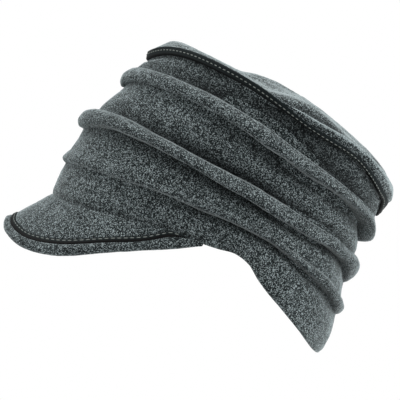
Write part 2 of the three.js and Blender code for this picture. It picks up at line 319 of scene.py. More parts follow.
@dataclass(frozen=True)
class Rim:
    """Lower edge of the crown wall: a chord from brow to nape with a lift read from a table."""

    front_y: float = -102.9
    front_z: float = 38.9
    back_y: float = 83.1
    back_z: float = -70.2
    half: float = 84.0
    lifts: tuple[tuple[float, float], ...] = (
        (-30, 1), (0, 0), (30, 1), (42, 3.7), (54, 8.7), (66, 14.5), (78, 20.3), (90, 23.8),
        (96, 26.2), (101, 28.8), (109, 27.1), (117, 19.8), (130, 12.3), (145, 5.3),
        (160, -0.3), (180, -1.8), (200, -0.3),
    )

    def up(self) -> np.ndarray:
        """Direction up from the chord, in the middle plane."""
        along = np.array([self.back_y - self.front_y, self.back_z - self.front_z])
        along /= np.linalg.norm(along)
        return np.array([0, -along[1], along[0]])

    def points(
        self, angle: np.ndarray, inset: float = 0.0, raised: float | np.ndarray = 0.0
    ) -> np.ndarray:
        """Points of the edge: a ring whose lift comes from the table of lifts.

        Args:
            angle: Angles round the edge.
            inset: How far the edge is drawn in.
            raised: How far it is lifted off its chord.

        Returns:
            A point for each angle.
        """
        lift = read_table(self.lifts, turned(angle))[0] + raised
        flat = np.array([[self.front_y, self.front_z, self.back_y, self.back_z, 0, 0, self.half]])
        return ring_points(flat, angle, inset)[0] + lift[:, None] * self.up()


# Meshes from grids


class Ends(Enum):
    """How the first and last row of a grid are closed."""

    JOINED = "joined to each other"
    CAPPED = "each closed to its own middle"


def grid_faces(rows: int, columns: int, ends: Ends) -> tuple[np.ndarray, np.ndarray]:
    """Faces of a grid that is closed along its columns.

    Args:
        rows: Number of rows.
        columns: Number of columns.
        ends: How the end rows are closed. With caps, two points follow the grid's own.

    Returns:
        The quads, and the triangles of the caps.
    """
    count = rows if ends is Ends.JOINED else rows - 1
    row, column = np.meshgrid(np.arange(count), np.arange(columns), indexing="ij")
    below, beside = (row + 1) % rows, (column + 1) % columns
    quads = np.stack(
        [
            row * columns + column,
            below * columns + column,
            below * columns + beside,
            row * columns + beside,
        ],
        axis=2,
    ).reshape(-1, 4)
    if ends is Ends.JOINED:
        return quads, np.zeros((0, 3), int)
    here = np.arange(columns)
    beside = (here + 1) % columns
    last = (rows - 1) * columns
    first_cap = np.stack([np.full(columns, rows * columns), here, beside], axis=1)
    last_cap = np.stack([np.full(columns, rows * columns + 1), last + beside, last + here], axis=1)
    return quads, np.concatenate([first_cap, last_cap])


def volume(points: np.ndarray, quads: np.ndarray, triangles: np.ndarray) -> float:
    """Signed volume inside a closed mesh: a sixth of the sum of triple products."""
    corners = np.concatenate([quads[:, [0, 1, 2]], quads[:, [0, 2, 3]], triangles])
    a, b, c = (points[corners[:, i]] for i in range(3))
    return float(np.einsum("ij,ij->i", a, np.cross(b, c)).sum() / 6)


def make_piece(
    name: str, points: np.ndarray, quads: np.ndarray, triangles: np.ndarray
) -> bpy.types.Object:
    """Mesh object from points in millimetres, with its faces turned outwards.

    Args:
        name: Name of the piece.
        points: Points in millimetres.
        quads: Four point numbers for each quad.
        triangles: Three point numbers for each triangle.

    Returns:
        The new object, at the origin.
    """
    if volume(points, quads, triangles) < 0:
        quads, triangles = quads[:, ::-1], triangles[:, ::-1]
    mesh = bpy.data.meshes.new(name)
    mesh.vertices.add(len(points))
    mesh.vertices.foreach_set("co", (points * METRE).astype(np.float32).ravel())
    corners = np.concatenate([quads.ravel(), triangles.ravel()]).astype(np.int32)
    mesh.loops.add(len(corners))
    mesh.loops.foreach_set("vertex_index", corners)
    sizes = np.concatenate([np.full(len(quads), 4), np.full(len(triangles), 3)])
    mesh.polygons.add(len(sizes))
    starts = np.concatenate([[0], np.cumsum(sizes)[:-1]]).astype(np.int32)
    mesh.polygons.foreach_set("loop_start", starts)
    mesh.polygons.foreach_set("loop_total", sizes.astype(np.int32))
    mesh.polygons.foreach_set("use_smooth", np.ones(len(sizes), bool))
    mesh.update(calc_edges=True)
    mesh.validate()
    piece = bpy.data.objects.new(name, mesh)
    bpy.context.scene.collection.objects.link(piece)
    return piece


def skin(
    name: str, grid: np.ndarray, ends: Ends, painted_shading: np.ndarray | None = None
) -> bpy.types.Object:
    """Closed piece from a grid of points whose columns run round.

    Args:
        name: Name of the piece.
        grid: Points by row and column.
        ends: How the end rows are closed.
        painted_shading: Painted shade at each point, up to 1, or painted highlight, down to -1.

    Returns:
        The new object.
    """
    rows, columns = grid.shape[:2]
    quads, triangles = grid_faces(rows, columns, ends)
    points = grid.reshape(-1, 3)
    if ends is Ends.CAPPED:
        points = np.concatenate([points, [grid[0].mean(axis=0), grid[-1].mean(axis=0)]])
    piece = make_piece(name, points, quads, triangles)
    values = np.zeros(len(points), np.float32)
    if painted_shading is not None:
        values[: painted_shading.size] = np.clip(painted_shading, -1, 1).ravel()
    piece.data.attributes.new(PAINTED_SHADING, "FLOAT", "POINT").data.foreach_set("value", values)
    return piece


def grid_normals(grid: np.ndarray) -> np.ndarray:
    """Unit normals of a grid closed along its columns: round the columns crossed with down.

    Args:
        grid: Points by row and column.

    Returns:
        A unit vector for each point.
    """
    round_way = np.roll(grid, -1, axis=1) - np.roll(grid, 1, axis=1)
    normal = np.cross(round_way, np.gradient(grid, axis=0))
    return normal / np.maximum(np.linalg.norm(normal, axis=2, keepdims=True), 1e-9)


# Materials


def _operator(operation: str, reflected: bool = False) -> Callable[["Number", Any], "Number"]:
    """Operator of a number socket that adds one Math node.

    Args:
        operation: Blender's name of the operation.
        reflected: Whether the number stands on the right of the sign.

    Returns:
        The operator, as a method for the class below.
    """

    def method(self: "Number", other: Any) -> "Number":
        """Joins the number and another one by the operation."""
        first, second = (other, self) if reflected else (self, other)
        inputs = {0: first, 1: second}
        node = self.graph.node("ShaderNodeMath", {"operation": operation}, inputs)
        return Number(self.graph, node.outputs[0])

    return method


@dataclass(frozen=True)
class Number:
    """A number socket of a node tree, so that shader maths is written as an expression."""

    graph: "Graph"
    socket: bpy.types.NodeSocket

    __add__ = _operator("ADD")
    __radd__ = _operator("ADD", reflected=True)
    __sub__ = _operator("SUBTRACT")
    __rsub__ = _operator("SUBTRACT", reflected=True)
    __mul__ = _operator("MULTIPLY")
    __rmul__ = _operator("MULTIPLY", reflected=True)

    def clamped(self) -> "Number":
        """The number held between 0 and 1."""
        settings = {"operation": "ADD", "use_clamp": True}
        node = self.graph.node("ShaderNodeMath", settings, {0: self, 1: 0.0})
        return Number(self.graph, node.outputs[0])


class Graph:
    """Node tree of one material, with a method for nodes and a few for common patterns."""

    def __init__(self, name: str) -> None:
        """Makes an empty material.

        Args:
            name: Name of the material.
        """
        self.material = bpy.data.materials.new(name)
        self.material.use_nodes = True
        self.tree = self.material.node_tree
        self.tree.nodes.clear()

    def node(
        self, kind: str, settings: Mapping[str, Any], inputs: Mapping[Any, Any]
    ) -> bpy.types.Node:
        """Adds a node, sets it up, and then gives its sockets values or links.

        Args:
            kind: Blender's name of the node type.
            settings: Properties of the node.
            inputs: Socket name or number to a value, a Number or a socket.

        Returns:
            The new node.
        """
        node = self.tree.nodes.new(kind)
        for key, value in settings.items():
            setattr(node, key, value)
        for key, value in inputs.items():
            source = value.socket if isinstance(value, Number) else value
            if isinstance(source, bpy.types.NodeSocket):
                self.tree.links.new(source, node.inputs[key])
            else:
                node.inputs[key].default_value = source
        return node

    def place(self) -> bpy.types.NodeSocket:
        """Object coordinates, in metres."""
        return self.node("ShaderNodeTexCoord", {}, {}).outputs["Object"]

    def noise(
        self, place: bpy.types.NodeSocket, size: float, detail: float, roughness: float
    ) -> Number:
        """Noise from 0 to 1 with lumps of a size in millimetres."""
        inputs = {
            "Vector": place,
            "Scale": 1 / (size * METRE),
            "Detail": detail,
            "Roughness": roughness,
        }
        node = self.node("ShaderNodeTexNoise", {"noise_dimensions": "3D"}, inputs)
        return Number(self, node.outputs["Fac"])

    def flecks(self, place: bpy.types.NodeSocket, size: float) -> Number:
        """Even random numbers from 0 to 1, one for each cell of a size in millimetres."""
        inputs = {"Vector": place, "Scale": 1 / (size * METRE), "Randomness": 1.0}
        cells = self.node("ShaderNodeTexVoronoi", {"voronoi_dimensions": "3D"}, inputs)
        parts = self.node("ShaderNodeSeparateColor", {}, {0: cells.outputs["Color"]})
        return Number(self, parts.outputs[0])

    def painted_shading(self) -> Number:
        """Painted shade, above 0, and painted highlight, below 0, read from the mesh."""
        node = self.node("ShaderNodeAttribute", {"attribute_name": PAINTED_SHADING}, {})
        return Number(self, node.outputs["Fac"])

    def facing(self) -> Number:
        """How far the cloth is turned away from the eye, used to paint a paler sheen at its edges.
        """
        node = self.node("ShaderNodeLayerWeight", {}, {"Blend": 0.5})
        return Number(self, node.outputs["Facing"])

    def blend(self, share: Number, first: Any, second: Any) -> bpy.types.NodeSocket:
        """Colour between two colours, by a share from 0 to 1."""
        settings = {"data_type": "RGBA", "clamp_factor": True}
        node = self.node("ShaderNodeMix", settings, {"Factor": share, 6: first, 7: second})
        return node.outputs[2]

    def bump(self, height: Number, depth: float, normal: Any = None) -> bpy.types.NodeSocket:
        """Normal from a height between 0 and 1, with its depth in millimetres."""
        inputs = {"Height": height, "Distance": depth * METRE, "Strength": 1.0}
        if normal is not None:
            inputs["Normal"] = normal
        return self.node("ShaderNodeBump", {}, inputs).outputs["Normal"]

    def surface(self, inputs: Mapping[str, Any]) -> bpy.types.Material:
        """Finishes the material with a Principled shader.

        Args:
            inputs: Socket names of the shader to values or links.

        Returns:
            The material.
        """
        shader = self.node("ShaderNodeBsdfPrincipled", {}, inputs)
        self.node("ShaderNodeOutputMaterial", {}, {"Surface": shader.outputs["BSDF"]})
        return self.material


Colour = tuple[float, float, float, float]


def linear(red: int, green: int, blue: int) -> Colour:
    """Linear colour of a screen colour given from 0 to 255."""
    parts = [part / 255 for part in (red, green, blue)]
    curve = [p / 12.92 if p <= 0.04045 else ((p + 0.055) / 1.055) ** 2.4 for p in parts]
    return (*curve, 1.0)


@dataclass(frozen=True)
class FleeceFinish:
    """Brushed heathered fleece: dark and pale fibres mixed, with a soft pile."""

    name: str = "heathered_fleece"
    dark: Colour = linear(6, 10, 12)
    middle: Colour = linear(56, 65, 66)
    pale: Colour = linear(160, 172, 174)
    # Colour of the painted shade in creases and under overhangs.
    shade: Colour = linear(8, 12, 13)
    fleck: float = 0.52
    tuft: float = 1.4
    clump: float = 3.4
    patch: float = 13.0
    contrast: float = 2.5
    level: float = 0.54
    pile: float = 0.5
    # How dark the painted shade gets, how much paler the painted sheen makes cloth turned away from
    # the eye, and how pale the painted highlights get.
    painted_shade_strength: float = 0.74
    rim: float = 0.46
    painted_edge_sheen: float = 0.62
    painted_highlight: float = 0.85
    fleck_share: float = 0.46
    tuft_share: float = 0.24
    clump_share: float = 0.2
    patch_share: float = 0.12
    fibre_relief: float = 0.6
    clump_relief: float = 0.4

    def build(self) -> bpy.types.Material:
        """Makes the material: flecks, tufts, clumps and patches choose the fibres' tone.

        A painted sheen makes cloth turned away from the eye paler by the fourth and eighth power
        of the turn. Painted highlights make marked places paler, and painted shade makes creases
        and other marked places darker.

        Returns:
            The material.
        """
        graph = Graph(self.name)
        place = graph.place()
        fleck = graph.flecks(place, self.fleck)
        tuft = graph.noise(place, self.tuft, 2.0, 0.6)
        clump = graph.noise(place, self.clump, 2.0, 0.6)
        patch = graph.noise(place, self.patch, 1.0, 0.5)
        mixed = fleck * fleck * self.fleck_share + tuft * self.tuft_share
        mixed = mixed + clump * self.clump_share + patch * self.patch_share
        # Painted sheen: paler where the cloth turns away from the eye.
        facing = graph.facing()
        fourth = facing * facing * facing * facing
        rim = fourth * self.rim + fourth * fourth * self.painted_edge_sheen
        # Painted highlight: paler where the mesh's shading attribute is below 0.
        painted_highlight = (graph.painted_shading() * -self.painted_highlight).clamped()
        tone = ((mixed - 0.5) * self.contrast + self.level + rim + painted_highlight).clamped()
        lower = graph.blend((tone * 2.0).clamped(), self.dark, self.middle)
        fleece = graph.blend((tone * 2.0 - 1.0).clamped(), lower, self.pale)
        # Painted shade: darker where the mesh's shading attribute is above 0.
        colour = graph.blend((graph.painted_shading() * self.painted_shade_strength).clamped(), fleece, self.shade)
        fibre = graph.noise(place, self.fleck, 2.0, 0.7)
        height = fibre * self.fibre_relief + clump * self.clump_relief
        normal = graph.bump(height, self.pile)
        return graph.surface(
            {
                "Base Color": colour,
                "Roughness": 0.95,
                "Specular IOR Level": 0.2,
                "Sheen Weight": 0.4,
                "Sheen Roughness": 0.4,
                "Sheen Tint": linear(205, 212, 212),
                "Normal": normal,
            }
        )


@dataclass(frozen=True)
class TapeFinish:
    """Dark satin tape with a fine weave."""

    name: str = "satin_tape"
    dark: Colour = linear(5, 13, 15)
    pale: Colour = linear(20, 33, 35)
    # Colour of the painted shadow along the tape's crease edge.
    fold: Colour = linear(3, 4, 4)
    thread: float = 0.35
    thread_share: float = 0.6
    patch: float = 5.0
    patch_share: float = 0.4
    depth: float = 0.08

    def build(self) -> bpy.types.Material:
        """Makes the material: weave from fine noise, a broad sheen, and a painted shadow where the
        mesh marks it.
        """
        graph = Graph(self.name)
        place = graph.place()
        thread = graph.noise(place, self.thread, 1.0, 0.5)
        patch = graph.noise(place, self.patch, 2.0, 0.5)
        tone = (thread * self.thread_share + patch * self.patch_share).clamped()
        satin = graph.blend(tone, self.dark, self.pale)
        # Painted shadow where the mesh's shading attribute marks the tape.
        colour = graph.blend(graph.painted_shading(), satin, self.fold)
        return graph.surface(
            {
                "Base Color": colour,
                "Roughness": 0.62,
                "Specular IOR Level": 0.2,
                "Sheen Weight": 0.08,
                "Sheen Roughness": 0.3,
                "Sheen Tint": linear(190, 205, 200),
                "Normal": graph.bump(thread, self.depth),
            }
        )


@dataclass(frozen=True)
class ThreadFinish:
    """Pale sewing thread."""

    name: str = "pale_thread"
    dark: Colour = linear(100, 106, 102)
    pale: Colour = linear(162, 168, 162)
    strand: float = 0.3
    depth: float = 0.05

    def build(self) -> bpy.types.Material:
        """Makes the material: twisted strands as fine noise."""
        graph = Graph(self.name)
        strand = graph.noise(graph.place(), self.strand, 1.0, 0.5)
        colour = graph.blend(strand, self.dark, self.pale)
        return graph.surface(
            {
                "Base Color": colour,
                "Roughness": 0.6,
                "Specular IOR Level": 0.4,
                "Normal": graph.bump(strand, self.depth),
            }
        )


@dataclass(frozen=True)
class PaperFinish:
    """Plain pale floor."""

    name: str = "pale_floor"
    colour: Colour = (0.75, 0.75, 0.75, 1.0)

    def build(self) -> bpy.types.Material:
        """Makes the material: one matt colour."""
        return Graph(self.name).surface({"Base Color": self.colour, "Roughness": 0.9})


# Parts of the cap


def cloth_relief(points: np.ndarray) -> np.ndarray:
    """Height of the fleece over its smooth shape, in millimetres.

    It is a sum of lumps: the tufts of the fleece's pile, the soft unevenness of thick cloth
    and the slow waves of a crown that stands by its own stiffness.
    """
    return sum(height * lumps(points, size, seed) for height, size, seed in RELIEF)


@dataclass(frozen=True)
class Tuck:
    """A rolled tuck: its first and last ring, and its forms in a table by angle.

    The columns are the angle, the depth of the crease above, the fullness of the roll, the
    depth of the crease below, how far the hollow under the roll is filled, and how far the
    upper and the lower crease slide down. The cloth above dips gently and the roll rises
    from it at once. Below, the roll turns in at once and the cloth comes out gently. Shade
    is painted dark into both creases, most of all close above the roll, and a highlight is
    painted a little on the roll. A crease as deep as its full depth gets the darkest painted
    shade.
    """

    first: str
    last: str
    rows: tuple[tuple[float, ...], ...]
    gentle: float = 5.0
    sharp: float = 0.9
    turn_out: float = 2.2
    turn_in: float = 2.6
    fill_width: float = 5.0
    slide_width: float = 9.0
    # dark_side, shade, shade_width, under, close, close_width, full_above and full_below set the
    # painted shade in and around the creases.
    dark_side: float = 2.4
    lip: float = 0.9
    lip_width: float = 1.5
    shade: float = 0.1
    shade_width: float = 7.0
    under: float = 0.3
    close: float = 0.5
    close_width: float = 3.2
    full_lip: float = 3.0
    full_above: float = 4.0
    full_below: float = 3.6
    near_width: float = 2.5
    # Strength of the painted highlight on the roll.
    raised: float = 0.03

    def ends(self, rings: Rings) -> tuple[float, float]:
        """Distances down the rings at which the roll begins and ends."""
        knots = rings.knots()
        return knots[rings.index(self.first)], knots[rings.index(self.last)]

    def forms(self, angle: np.ndarray) -> np.ndarray:
        """The table's number columns, read at angles."""
        return read_table(self.rows, turned(angle))

    def roll(self, rings: Rings, at: np.ndarray) -> np.ndarray:
        """The roll as a smooth step up times a smooth step down, from 0 to 1."""
        start, end = self.ends(rings)
        rise = ease(start, start + self.turn_out, at)
        return (rise * (1 - ease(end - self.turn_in, end, at)))[:, None]

    def relief(self, rings: Rings, at: np.ndarray, angle: np.ndarray) -> np.ndarray:
        """Outward push of the cloth in millimetres, by distance down and angle.

        The creases are taken off the roll. Each is a bell, wide towards the plain cloth and
        narrow towards the roll. The filling is a bell round the lower crease.

        Args:
            rings: Rings that the names belong to.
            at: Distances down the rings.
            angle: Angles round the rings.

        Returns:
            Push by row and column.
        """
        start, end = self.ends(rings)
        dip_above, full, dip_below, fill, _, _ = self.forms(angle)
        above = leaning_bell(start, self.gentle, self.sharp, at)[:, None]
        below = leaning_bell(end, self.sharp, self.gentle, at)[:, None]
        filling = bell(end, self.fill_width, at)[:, None] * fill
        lip = bell(start + self.lip_width, self.lip_width, at)[:, None]
        lip = lip * np.clip(dip_above / self.full_lip, 0, 1)
        pushed = self.roll(rings, at) * full + lip * self.lip + filling
        return pushed - above * dip_above - below * dip_below

    def slide(self, rings: Rings, at: np.ndarray, angle: np.ndarray) -> np.ndarray:
        """How far the cloth is moved down, in millimetres, by distance down and angle."""
        start, end = self.ends(rings)
        *_, down_above, down_below = self.forms(angle)
        upper = bell(start, self.slide_width, at)[:, None] * down_above
        return upper + bell(end, self.slide_width, at)[:, None] * down_below

    def painted_shading(self, rings: Rings, at: np.ndarray, angle: np.ndarray) -> np.ndarray:
        """Painted shade in the creases, less the painted highlight on the roll.

        Args:
            rings: Rings that the names belong to.
            at: Distances down the rings.
            angle: Angles round the rings.

        Returns:
            Painted shade by row and column, below 0 where a highlight is painted on the roll.
        """
        start, end = self.ends(rings)
        dip_above, full, dip_below, _, _, _ = self.forms(angle)
        deep_above = np.clip(dip_above / self.full_above, 0, 1)
        deep_below = np.clip(dip_below / self.full_below, 0, 1)
        above = leaning_bell(start, self.gentle, self.sharp, at)
        below = leaning_bell(end, self.dark_side, self.gentle - 1, at)
        shade = bell(start - self.shade_width, self.shade_width, at) * self.shade
        under = bell(end - self.dark_side, self.shade_width, at) * self.under
        close = leaning_bell(start, self.close_width, self.sharp, at) * self.close
        upper = (above + close)[:, None] * deep_above
        upper = np.maximum(upper, shade[:, None] * deep_above**2)
        lower = np.maximum(below, under)[:, None] * deep_below
        return upper + lower - self.roll(rings, at) * np.clip(full, 0, 1) * self.raised

    def closeness(self, rings: Rings, at: np.ndarray) -> np.ndarray:
        """How near a row is to one of the creases, from 0 to 1."""
        return sum(bell(end, self.near_width, at) for end in self.ends(rings))


@dataclass
class CrownWall:
    """Wall of the crown: one long piece of fleece, folded into three rolled tucks."""

    rings: Rings
    rim: Rim
    inner_names: tuple[str, ...]
    tucks: tuple[Tuck, ...]
    skirt: tuple[tuple[float, float], ...] = (
        (0, 0), (0.18, 0.7), (0.4, 1.4), (0.62, 1.7), (0.82, 1.5), (0.95, 0.8), (1, 0),
    )
    swell_shift: float = 0.6
    columns: int = 432
    tucked_rows: int = 150
    crease_share: float = 4.0
    seam_dip: float = 1.6
    seam_width: float = 1.5
    seam_reach: float = 9.0
    # Painted shadow in a line under the tape, and painted shade along the brow's hem.
    tape_shadow: float = 0.2
    tape_shadow_width: float = 0.8
    brow: float = 0.6
    brow_reach: tuple[float, float] = (86, 93)
    brow_width: float = 3.0
    tucks_fade: tuple[float, float] = (0.75, 1.0)
    slide_base: float = 14.0
    skirt_rows: int = 44
    hem_rows: int = 7
    inner_rows: int = 22
    seam_fade: int = 10
    hem_fade: int = 6
    hem_relief: float = 0.3

    def angles(self) -> np.ndarray:
        """Angles of the columns."""
        return even_angles(self.columns)

    def places(self) -> tuple[np.ndarray, np.ndarray]:
        """Distances down of the tucked rows, closer together at the creases, and of the skirt's."""
        last = self.rings.knots()[-1]
        fine = np.linspace(0, last, 2000)
        near = sum(tuck.closeness(self.rings, fine) for tuck in self.tucks)
        count = np.concatenate([[0], np.cumsum(1 + self.crease_share * near[1:])])
        tucked = np.interp(np.linspace(0, count[-1], self.tucked_rows), count, fine)
        ring = ring_points(self.rings.numbers()[-1:], self.angles())[0]
        reach = np.linalg.norm(self.rim.points(self.angles(), 0.0, CLOTH / 2) - ring, axis=1).mean()
        return tucked, np.linspace(0, 1, self.skirt_rows + 1)[1:] * reach

    def plain(self, inset: float) -> np.ndarray:
        """Outer side without its tucks' relief, from the top seam to the rim.

        Above, the rings are smoothed down to the last tuck. Below, it is a straight mix of
        the last tuck's loop and the rim's.

        Args:
            inset: How far the side is drawn in.

        Returns:
            Points by row and column.
        """
        angle, numbers = self.angles(), self.rings.numbers()
        tucked, skirt = self.places()
        names = [name for tuck in self.tucks for name in (tuck.first, tuck.last)]
        creases = [self.rings.index(name) for name in names][:-1]
        upper = ring_points(creased(self.rings.knots(), numbers, tucked, creases), angle, inset)
        top = ring_points(numbers[-1:], angle, inset)[0]
        low = self.rim.points(angle, inset, CLOTH / 2)
        return np.concatenate([upper, top + (low - top) * (skirt / skirt[-1])[:, None, None]])

    def outer(self) -> tuple[np.ndarray, np.ndarray]:
        """Outer side with its tucks, and the shade painted on it.

        The tucks' relief and the skirt's swell push the cloth the way in which a ring
        grows. The swell is read from the table and is stronger at the nape than at the
        brow. The cloth follows the seam's line at the top and slides with the creases.
        Shade is painted in a line under the tape and along the brow's hem.

        Returns:
            Points and painted shade, by row and column.
        """
        angle, rings = self.angles(), self.rings
        tucked, skirt = self.places()
        at = np.concatenate([tucked, tucked[-1] + skirt])
        share = np.concatenate([np.zeros(len(tucked)), skirt / skirt[-1]])
        swell = read_table(self.skirt, share)[0][:, None]
        backward = (1 - self.swell_shift * np.cos(angle)) / (1 + self.swell_shift)
        kept = 1 - ease(*self.tucks_fade, share)
        relief = sum(tuck.relief(rings, at, angle) for tuck in self.tucks) * kept[:, None]
        relief = relief + swell * backward
        relief -= self.seam_dip * bell(self.seam_width, self.seam_width, at)[:, None]
        plain = self.plain(0.0)
        grid = plain + (plain - self.plain(1.0)) * relief[:, :, None]
        before = np.searchsorted(at, at - self.slide_base)
        after = np.minimum(np.searchsorted(at, at + self.slide_base), len(at) - 1)
        down = plain[after] - plain[before]
        down /= np.linalg.norm(down, axis=2, keepdims=True)
        slide = sum(tuck.slide(rings, at, angle) for tuck in self.tucks) * kept[:, None]
        follow = seam_lines(angle)[0] * bell(0.0, self.seam_reach, at)[:, None]
        grid = grid + down * slide[:, :, None] + follow[:, :, None] * chord_up(rings.numbers()[0])
        # Painted shade: the tucks' creases, a line under the tape and a band along the brow's hem.
        painted_shading = sum(tuck.painted_shading(rings, at, angle) for tuck in self.tucks)
        painted_shading += bell(self.tape_shadow, self.tape_shadow_width, at)[:, None]
        brow = self.brow * (1 - ease(*self.brow_reach, turned(angle)))
        return grid, painted_shading + bell(at[-1], self.brow_width, at)[:, None] * brow

    def hem(self) -> np.ndarray:
        """Rounded edge: a half circle of the cloth's thickness under the rim."""
        turns = np.linspace(0, math.pi, self.hem_rows + 2)[1:-1]
        half = CLOTH / 2
        rows = [
            self.rim.points(self.angles(), half * (1 - math.cos(t)), half * (1 - math.sin(t)))
            for t in turns
        ]
        return np.array(rows)

    def lined(self) -> np.ndarray:
        """Inner side, from the rim up to the seam, passing behind the tucks."""
        angle = self.angles()
        numbers = self.rings.numbers()
        picked = np.array([numbers[self.rings.index(name)] for name in self.inner_names])
        loops = list(ring_points(picked, angle, CLOTH))
        loops.append(self.rim.points(angle, CLOTH, CLOTH / 2))
        loops = np.array(loops)[::-1]
        at = np.linspace(0, len(loops) - 1, self.inner_rows)
        low = np.minimum(at.astype(int), len(loops) - 2)
        share = (at - low)[:, None, None]
        return loops[low] * (1 - share) + loops[low + 1] * share

    def build(self) -> bpy.types.Object:
        """Makes the wall as one closed skin with the fleece's relief on its outer side."""
        outer, painted_shading = self.outer()
        relief = cloth_relief(outer)
        relief[: self.seam_fade] *= np.linspace(0, 1, self.seam_fade)[:, None]
        relief[-self.hem_fade :] *= np.linspace(1, self.hem_relief, self.hem_fade)[:, None]
        outer = outer + grid_normals(outer) * -relief[:, :, None]
        grid = np.concatenate([outer, self.hem(), self.lined()])
        return skin("wall_cloth", grid, Ends.JOINED, painted_shading)


@dataclass
class TopPanel:
    """Soft oval top: a dome with a rounded lip that stands over the tape."""

    rings: Rings
    dome_top: tuple[float, float, float] = (0.0, 71.1, 106.9)
    dip_rows: tuple[float, ...] = (0, 0.6, 0.55, 0.4, 0.1, 0, 0, 0, 0)
    sink: tuple[tuple[float, float], ...] = (
        (0, 0), (18, -0.9), (25, -1.9), (32, -3.0), (40, -4.5), (50, -6.4), (60, -7.0),
        (74, -7.0), (84, -4.8), (95, -1.8), (106, -0.9), (116, -1.4), (126, -3.0), (136, -4.2),
        (146, -4.0), (156, -2.4), (166, -0.8), (180, 0),
    )
    sink_rows: tuple[float, ...] = (0, 0, 0.8, 1, 1, 0.8, 0.6, 0.4, 0.3)
    drawn_rows: tuple[float, ...] = (0, 0.42, 0.3, 0, 0, 0, 0, 0, 0)
    groove: float = 2.4
    groove_width: float = 3.0
    # The next eight fields place the painted shade at the dome's foot and the painted highlights
    # along the lip and over the ears.
    base: float = 0.9
    base_at: float = 26.5
    base_width: float = 2.4
    painted_highlight: float = 0.9
    edge_at: float = 6.0
    edge_width: float = 2.1
    side_at: float = 24.0
    side_width: float = 2.4
    bead: float = 1.3
    bead_at: float = 2.2
    bead_width: float = 1.7
    bead_from: tuple[float, float] = (78, 95)
    drawn_to: tuple[float, float] = (88, 100)
    groove_before: float = 2.0
    groove_from: tuple[float, float] = (50, 85)
    groove_to: tuple[float, float] = (125, 160)
    groove_lost: float = 0.7
    # Where the painted shade and highlights fade in round the turn, and where and how wide the
    # painted highlight over each ear is.
    shading_from: tuple[float, float] = (70, 95)
    side_angle: float = 91.0
    side_spread: float = 8.0
    relief: float = 0.8
    relief_fade: int = 6
    inner_step: int = 6
    columns: int = 400
    row_step: float = 0.9
    crown_rows: int = 8

    def build(self) -> bpy.types.Object:
        """Makes the top as a closed skin: the outer side in to the dome, the inner side out.

        The dome sinks by its table, and before the ears it is drawn in where it sinks. A soft
        groove behind the lip is deepest over the ears, and a bead fills the lip from there to
        the back. From the ears back, shade is painted at the dome's foot behind the lip and a
        highlight is painted along the lip. A highlight is also painted on the dome's side over
        each ear.

        Returns:
            The new object.
        """
        angle = even_angles(self.columns)
        way = turned(angle)
        knots = self.rings.knots()
        at = np.linspace(0, knots[-1], int(knots[-1] / self.row_step))
        share, sunk, drawn = (
            smooth(knots, np.array(row, float), at)[:, None]
            for row in (self.dip_rows, self.sink_rows, self.drawn_rows)
        )
        rows = smooth(knots, self.rings.numbers(), at)
        edge = np.clip(1 - at / knots[1], 0, 1)[:, None]
        raised = share * edge_dip(angle) + edge * seam_lines(angle)[1]
        sink = read_table(self.sink, way)[0]
        before_ears = -sink * (1 - ease(*self.drawn_to, way))
        drawn = drawn * before_ears
        raised = raised + sunk * sink - drawn
        outer = ring_points(rows, angle, drawn, raised)
        top = np.array(self.dome_top)
        share = np.linspace(0, 1, self.crown_rows + 1)[1:-1, None, None]
        outer = np.concatenate([outer, outer[-1] + (top - outer[-1]) * share])
        at = np.concatenate([at, at[-1] + np.arange(1, self.crown_rows)])
        valley = knots[self.rings.index("valley")] - self.groove_before
        behind = bell(valley, self.groove_width, at)[:, None] * ease(*self.groove_from, way)
        behind = behind * (1 - self.groove_lost * ease(*self.groove_to, way))
        outer = outer - grid_normals(outer) * (self.groove * behind)[:, :, None]
        bead = self.bead * bell(self.bead_at, self.bead_width, at)[:, None, None]
        bead = bead * ease(*self.bead_from, way)[None, :, None]
        outer = outer + bead * self.outward(outer)
        normal = grid_normals(outer)
        relief = cloth_relief(outer)
        relief[: self.relief_fade] *= np.linspace(0, 1, self.relief_fade)[:, None]
        relief *= self.relief
        inner = outer[:: self.inner_step] - normal[:: self.inner_step] * SHEET
        inner[0] = ring_points(self.rings.numbers()[:1], angle, SHEET, seam_lines(angle)[1])[0]
        outer = outer + normal * relief[:, :, None]
        grid = np.concatenate([outer[::-1], inner])
        # Painted shade at the dome's foot behind the lip, painted highlights along the lip and over
        # the ears.
        base = bell(self.base_at, self.base_width, at)[:, None] * self.base
        edge = bell(self.edge_at, self.edge_width, at)[:, None] * self.painted_highlight
        side = bell(self.side_at, self.side_width, at)[:, None]
        side = side * bell(self.side_angle, self.side_spread, way)
        painted_shading = (base - edge) * ease(*self.shading_from, way) - side * self.painted_highlight
        return skin("top_cloth", grid, Ends.CAPPED, painted_shading[::-1])

    def outward(self, grid: np.ndarray) -> np.ndarray:
        """Unit directions halfway between up from the chord and away from the middle."""
        away = grid - grid.mean(axis=1, keepdims=True)
        away /= np.linalg.norm(away, axis=2, keepdims=True)
        mixed = away + chord_up(self.rings.numbers()[0])
        return mixed / np.linalg.norm(mixed, axis=2, keepdims=True)


